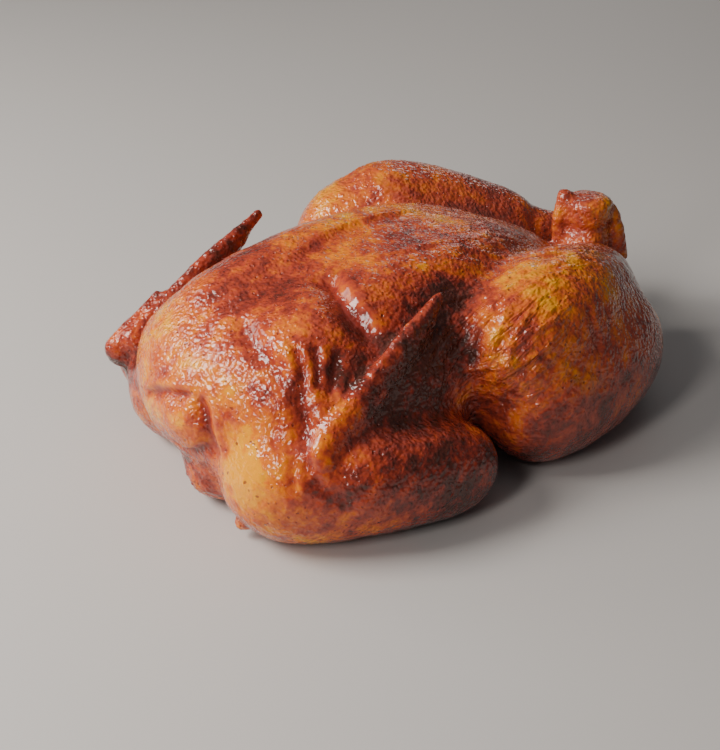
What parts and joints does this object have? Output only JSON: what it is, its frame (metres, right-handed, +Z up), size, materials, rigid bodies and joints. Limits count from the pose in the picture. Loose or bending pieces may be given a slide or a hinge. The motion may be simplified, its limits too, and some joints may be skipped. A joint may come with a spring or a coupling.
{
  "type": "roast chicken",
  "caption": "Whole roast chicken, breast up, with folded legs, tucked wings and pointed wing tips; rests on its flat back as a serving prop.",
  "frame": {"origin": "on the flat of the back that the bird rests on, below the middle of the body", "axes": "+X towards the tail and the ankles, -X towards the neck, +Z up through the breast, -Y towards the side of the leg whose ankle stands up"},
  "size_m": [0.248, 0.1838, 0.0863],
  "materials": {
    "roasted_skin": "glossy golden brown roasted skin"
  },
  "bodies": {
    "root": {"chicken": "roasted_skin"}
  },
  "joints": []
}
